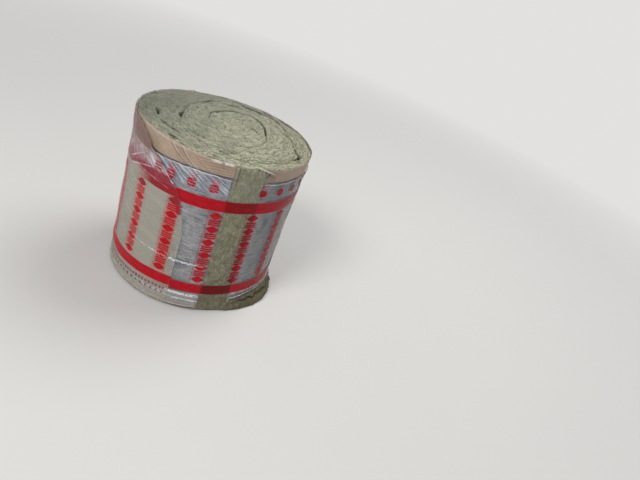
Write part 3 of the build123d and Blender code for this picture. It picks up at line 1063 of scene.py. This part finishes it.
class LapFilm(Film):
    """The lap: milky over the sleeve, with red and pink stains at its shoulder."""

    RIM_GLEAM, RIM_SHADE, RIDGE_HAZE = 0.12, 0.0, 0.62

    def __init__(self, name):
        super().__init__(name)
        self.v = self.v - 9
        self.smear = self.grain(self.arc * 0.035, self.z * 0.05, 1.0, 4, 0.6)
        self.bend = ((self.angle + 33) * (self.angle + 33) * -0.05 + 364).most(331)
        self.near = (self.angle + (self.smear - 0.5) * 30).above(-76, 26)

    def thread(self, a0, z0, a1, z1, width):
        """A soft line between two points, each an angle and a height."""
        along, up = (a1 - a0) * ARC_MM, z1 - z0
        x, y = (self.angle - a0) * ARC_MM, self.z - z0
        t = ((x * along + y * up) / (along * along + up * up)).clip()
        off_x, off_y = x - t * along, y - t * up
        return (off_x * off_x + off_y * off_y).power(0.5).below(width * 0.9, width * 1.8)

    def ink(self):
        angle, z, v = self.angle, self.z, self.v
        upper = v.within(*UPPER_BAND).least(angle.below(-78, 18))
        upper = upper.most(z.within(320, 343, 1.2).least(angle.above(-45, 16)))
        backing = angle.above(-30, 1) * 0.48 + 0.22
        ink = v.within(*LOWER_BAND).most(upper).most(columns(angle, v, -18.5, 25.7, backing))
        ink = ink.most(foot_rows(v, self.arc).least(angle.below(-12, 0.4)) * 0.9)
        ink = ink.most(marks(angle - 5, v + 4).least(angle.within(-42, -24, 1)))
        return ink.most(self.thread(-26, 375, -19.5, 350, 1.6) * 0.8)

    def pink(self):
        """Rose under the bend, milky over it, and a paler tail up to the rim."""
        angle, z, smear = self.angle, self.z, self.smear - 0.5
        rose = z.above(340, 3).least(z.below(self.bend, 4)).least(angle.above(-62, 14))
        milky = z.above(self.bend, 5).least(z.below(397, 3)).least(self.near)
        self.tail = z.above(396, 6).least(self.near * 0.75 + 0.25)
        self.rose = rose.most(self.thread(-17.5, 322, -14.2, 284, 4.5) * 0.6)
        pink = (self.rose * (0.86 + smear * 2.0)).most(milky * (0.50 + smear * 1.7))
        return pink.most(self.tail * (0.34 + angle.below(-66, 16) * 0.22)).clip()

    def streaks(self):
        """Also painted highlights on the folds at the shoulder, the fan over it and those near the foot."""
        streaks, angle, z, arc = super().streaks(), self.angle, self.z, self.arc
        streaks = streaks.most(self.value_of("folds") * self.smear.above(0.42, 0.3) * 0.8)
        fan = self.grain(arc * 0.20 + z * 0.16, arc * 0.018 - z * 0.022, 8.0, 3, 0.6)
        zone = (z - self.bend * 0.75).above(98, 12).least(z.below(398, 8)).least(self.near)
        streaks = streaks.most(ridges(fan, 15) * zone * 0.42)
        low_fan = self.grain(arc * 0.012 + z * 0.02, z * 0.20 - arc * 0.05, 11.0, 3, 0.6)
        streaks = streaks.most(ridges(low_fan, 26) * z.below(56, 6) * angle.above(-84, 12) * 0.46)
        hem = (z - 36 + self.jitter * 1.6).size().below(1.5, 1.5).least(angle.within(-34, -9, 3))
        return streaks.most(hem * self.gaps * 0.7)

    def haze(self):
        return self.angle.below(-19, 13) * 0.12 + 0.28

    def tints(self, pink, red):
        z = self.z
        hue = self.mix(z.above(366, 20), linear(170, 80, 94), linear(180, 148, 146))
        hue = self.mix(self.tail, self.mix(self.rose, hue, linear(158, 62, 76)), linear(156, 124, 116))
        film = self.mix(pink.above(0.1, 0.2), linear(208, 203, 188), hue)
        dulled = z.above(300, 4).least(self.near) * (0.75 + (self.smear - 0.5) * 1.2)
        red = self.mix(dulled, red, linear(146, 40, 50))
        return film, self.mix(z.below(60, 4) * 0.85, red, linear(90, 36, 46))


# Camera, lights and floor

def seen_directly(tree):
    """1 for what the camera, metal and glass see, 0 for what lights the rest."""
    rays = tree.nodes.new("ShaderNodeLightPath").outputs
    camera, metal, glass = (Number(tree, rays[f"Is {k} Ray"]) for k in ("Camera", "Glossy", "Transmission"))
    return (camera + metal + glass).clip()


def mix_shaders(tree, share, first, second, out):
    """Leads a mix of two shaders to the output."""
    mix = tree.nodes.new("ShaderNodeMixShader")
    plug(tree, share, mix.inputs[0])
    tree.links.new(first.outputs[0], mix.inputs[1])
    tree.links.new(second.outputs[0], mix.inputs[2])
    tree.links.new(mix.outputs[0], out.inputs[0])


def floor_look():
    """A pale floor that runs into an even pale distance."""
    look = Look("pale_floor")
    look.blend(look.cloud(1.4, 4, 0.5).above(0.5, 1.2), (222, 221, 219), (228, 227, 225))
    x, y, _ = look.split(look.place())
    far = (x * x + y * y).power(0.5).above(2.2, 3.2)
    glow = look.node("Emission")
    glow.inputs["Color"].default_value = PALE
    mix_shaders(look.tree, far * seen_directly(look.tree), look.shader, glow, look.out)
    return look.finish(Roughness=0.8, Specular_IOR_Level=0.2)


def lay_floor():
    """A round floor of rings that widen outwards."""
    rings, sides = [0.5, 1, 2, 4, 8, 16, 40], 64
    turns = [2 * math.pi * k / sides for k in range(sides)]
    points = [(0, 0, 0)] + [(r * math.cos(a), r * math.sin(a), 0) for r in rings for a in turns]
    faces = [(0, 1 + k, 1 + (k + 1) % sides) for k in range(sides)]
    faces += [(a, b, c, d) for a, d, c, b in grid_faces(len(rings), sides, 1, True)]
    floor = build("floor", points, faces)
    floor.data.materials.append(floor_look())
    floor.location.z = -0.0002


def light_world():
    """A dim even light all round, in front of a pale background."""
    world = bpy.data.worlds.new("studio")
    bpy.context.scene.world = world
    world.use_nodes = True
    tree = world.node_tree
    tree.nodes.clear()
    out = tree.nodes.new("ShaderNodeOutputWorld")
    lit, seen = (tree.nodes.new("ShaderNodeBackground") for _ in range(2))
    lit.inputs["Color"].default_value, lit.inputs["Strength"].default_value = (0.94, 0.96, 1.0, 1), 0.33
    seen.inputs["Color"].default_value, seen.inputs["Strength"].default_value = PALE, 1.0
    mix_shaders(tree, seen_directly(tree), lit, seen, out)


def stand_camera():
    """The camera of the photograph, fitted to the roll's rim, bands and foot."""
    data = bpy.data.cameras.new("camera")
    data.sensor_width, data.lens = 36.0, 29.25
    data.clip_start, data.clip_end = 0.05, 120
    camera = bpy.data.objects.new("camera", data)
    right, up = (0.93815, -0.05374, 0.34204), (-0.26444, 0.52646, 0.80801)
    back, place = (-0.22349, -0.84850, 0.47972), (0.0, -1.3464, 0.9519)
    camera.matrix_world = Matrix([*zip(right, up, back, place), (0, 0, 0, 1)])
    bpy.context.scene.collection.objects.link(camera)
    bpy.context.scene.camera = camera


def hang_light(name, place, aim, size, energy, colour):
    """A round soft lamp that points at its aim."""
    data = bpy.data.lights.new(name, "AREA")
    data.shape, data.size, data.energy, data.color = "DISK", size, energy, colour
    lamp = bpy.data.objects.new(name, data)
    lamp.rotation_euler = Vector([a - p for a, p in zip(aim, place)]).to_track_quat("-Z", "Y").to_euler()
    lamp.location = place
    bpy.context.scene.collection.objects.link(lamp)


def dress(piece, material, node):
    """Gives a piece its material and body, and hides the node that it replaces."""
    piece.data.materials.append(material)
    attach(piece, "root")
    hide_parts(node)


stand_camera()
light_world()
lay_floor()
hang_light("key", (-1.6, -2.2, 2.8), (0, 0, 0.25), 1.4, 66, (1.0, 0.985, 0.96))
hang_light("overhead", (1.2, 0.9, 2.8), (0, 0, 0.35), 1.8, 42, (1.0, 0.99, 0.95))

wool = make_wool()
foil, upper_flange, lower_flange, sleeve, lap = (
    make() for make in (make_foil, make_upper_flange, make_lower_flange, make_sleeve, make_lap))
dress(wool, wool_look(), "wool_roll")
dress(make_tufts(wool), tuft_look(), "wool_roll")
dress(foil, foil_look(), "foil_facing")
kraft = kraft_look()
dress(upper_flange, kraft, "upper_flange")
dress(lower_flange, kraft, "lower_flange")
dress(make_sliver(), sliver_look(), "upper_flange")
dress(sleeve, SleeveFilm("film_clear").make(), "film_wrap")
dress(lap, LapFilm("film_lapped").make(), "film_wrap")

bpy.context.scene.view_settings.view_transform = "Standard"
